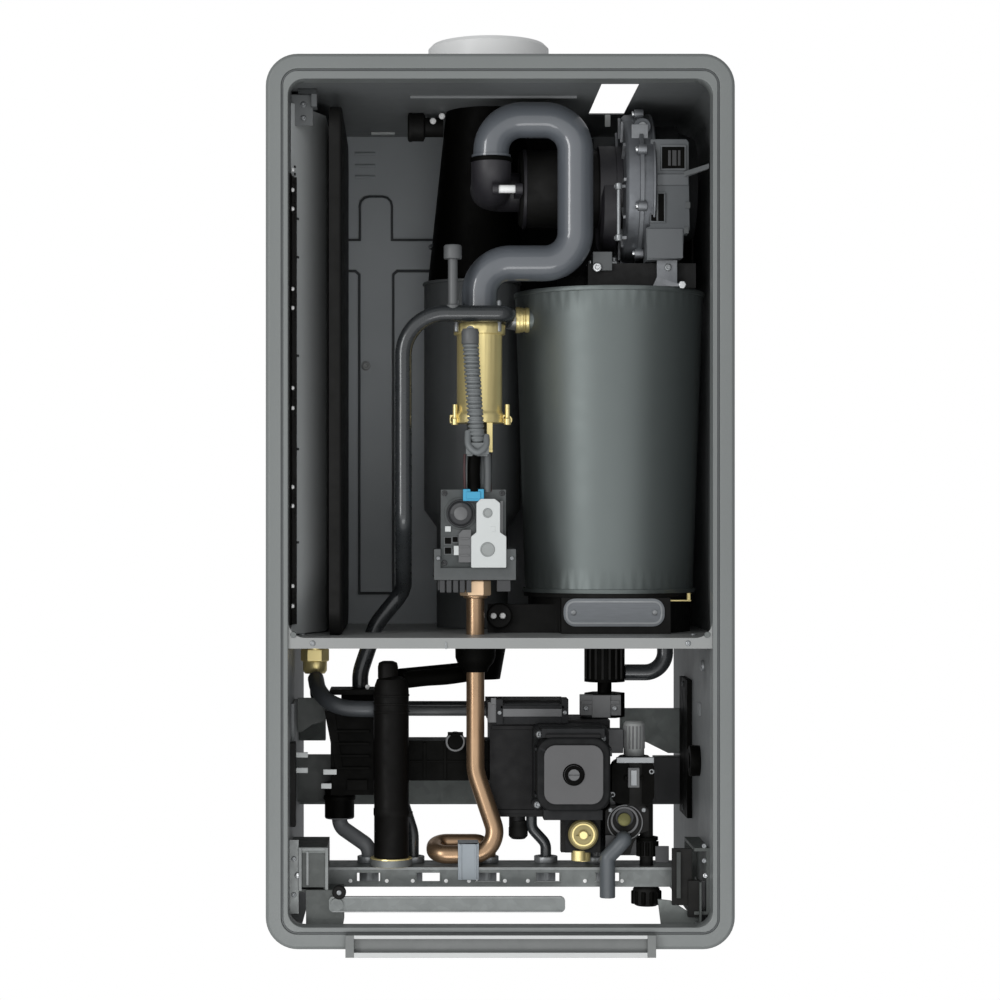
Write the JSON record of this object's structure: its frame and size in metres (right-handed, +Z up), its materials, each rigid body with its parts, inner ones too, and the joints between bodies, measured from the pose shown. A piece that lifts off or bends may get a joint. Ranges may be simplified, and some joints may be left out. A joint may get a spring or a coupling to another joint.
{
  "type": "condensing gas boiler",
  "caption": "Wall-hung condensing gas boiler with its front cover off: heat exchanger, blower, gas valve, pump and plate exchanger in a steel casing.",
  "frame": {"origin": "Centre of the two wall fixing holes, on the wall plane.", "axes": "X to the right as seen from the front, Y into the wall, Z up."},
  "size_m": [0.44, 0.353, 0.89],
  "materials": {
    "frame_paint": "satin mid-grey paint",
    "sheet_paint": "light grey painted sheet",
    "back_sheet": "grey painted sheet with stampings",
    "zinc_sheet": "zinc-plated sheet",
    "screw_steel": "zinc-plated screws",
    "plate_steel": "satin plate, bare",
    "jacket_steel": "satin stainless steel with a cool tint",
    "cast_alloy": "cast aluminium, fine grain",
    "motor_plastic": "dark grey moulded plastic",
    "wheel_plastic": "moulded plastic",
    "black_plastic": "black moulded plastic",
    "duct_plastic": "dark grey moulded plastic",
    "collar_plastic": "white paint",
    "tube_plastic": "blue-grey glossy plastic",
    "valve_alloy": "cast aluminium",
    "pale_plastic": "pale grey plastic",
    "knob_plastic": "dark plastic",
    "brass": "machined brass",
    "copper": "drawn copper",
    "pipe_steel": "grey steel tube",
    "tube_rubber": "grey flexible tube",
    "siphon_plastic": "black moulded plastic",
    "stack_steel": "dark brazed plates",
    "pump_cast": "dark cast housing",
    "pump_plastic": "grey moulded plastic",
    "screw_plastic": "grey plastic screw",
    "rotor_steel": "ground steel"
  },
  "bodies": {
    "casing": {"air_vent": "black_plastic", "back_panel": "back_sheet", "baffle_panel": "black_plastic", "bottom_lip": "zinc_sheet", "brass_fittings": "brass", "burner": "jacket_steel", "burner_plate": "cast_alloy", "casing_screws": "screw_steel", "condensate_sump": "black_plastic", "connection_rail": "zinc_sheet", "drain_hose": "tube_rubber", "exchanger_base": "black_plastic", "exchanger_coil": "jacket_steel", "exchanger_jacket": "jacket_steel", "fan_motor": "motor_plastic", "fan_scroll": "cast_alloy", "filling_tap": "black_plastic", "flow_pipe": "pipe_steel", "flow_sensor": "black_plastic", "flue_collar": "collar_plastic", "flue_cone": "black_plastic", "flue_duct": "duct_plastic", "front_frame": "frame_paint", "gas_pipe": "copper", "gas_valve": "valve_alloy", "hinge_brackets": "zinc_sheet", "inlet_elbow": "duct_plastic", "inlet_silencer": "black_plastic", "left_wall": "sheet_paint", "manifold": "siphon_plastic", "middle_shelf": "sheet_paint", "mixture_tube": "tube_plastic", "name_plate": "plate_steel", "pipe_tails": "brass", "plate_exchanger": "stack_steel", "pump_housing": "pump_cast", "pump_motor": "pump_plastic", "rear_crossbars": "zinc_sheet", "relief_valve": "black_plastic", "return_pipe": "pipe_steel", "right_wall": "sheet_paint", "signal_tubes": "tube_rubber", "siphon_body": "siphon_plastic", "test_port_cap": "duct_plastic", "top_panel": "sheet_paint", "trap_tube": "black_plastic", "valve_bracket": "zinc_sheet", "valve_cover": "pale_plastic", "venturi": "brass", "wall_bracket": "zinc_sheet", "wall_strip": "black_plastic", "water_pipes": "pipe_steel"},
    "stay": {"support_bar": "zinc_sheet"},
    "blower_wheel": {"fan_impeller": "wheel_plastic"},
    "adjuster": {"adjuster_knob": "knob_plastic"},
    "rotor": {"pump_rotor": "rotor_steel"},
    "vent_plug": {"vent_screw": "screw_plastic"},
    "cock": {"drain_cock": "brass"},
    "cap": {"vent_cap": "pump_plastic"},
    "handwheel": {"tap_handwheel": "black_plastic"}
  },
  "joints": [
    {"name": "stay_swing", "type": "hinge", "parent": "casing", "child": "stay", "pos_m": [-0.1537, -0.32675, -0.74], "axis": [0, -1, 0], "range_deg": [0, 75]},
    {"name": "blower_spin", "type": "hinge", "parent": "casing", "child": "blower_wheel", "pos_m": [0.14, -0.197, -0.047], "axis": [1, 0, 0], "continuous": true},
    {"name": "adjuster_turn", "type": "hinge", "parent": "casing", "child": "adjuster", "pos_m": [-0.036, -0.283, -0.371], "axis": [0, 1, 0], "range_deg": [-135, 135]},
    {"name": "rotor_spin", "type": "hinge", "parent": "casing", "child": "rotor", "pos_m": [0.07, -0.3, -0.618], "axis": [0, 1, 0], "continuous": true},
    {"name": "vent_plug_turn", "type": "hinge", "parent": "casing", "child": "vent_plug", "pos_m": [0.07, -0.325, -0.618], "axis": [0, 1, 0], "range_deg": [0, 360]},
    {"name": "cock_turn", "type": "hinge", "parent": "casing", "child": "cock", "pos_m": [0.081, -0.293, -0.678], "axis": [0, 1, 0], "range_deg": [0, 90]},
    {"name": "cap_turn", "type": "hinge", "parent": "casing", "child": "cap", "pos_m": [0.132, -0.27, -0.605], "axis": [0, 0, 1], "range_deg": [0, 360]},
    {"name": "handwheel_turn", "type": "hinge", "parent": "casing", "child": "handwheel", "pos_m": [0.144, -0.27, -0.726], "axis": [0, 0, 1], "range_deg": [0, 360]}
  ]
}
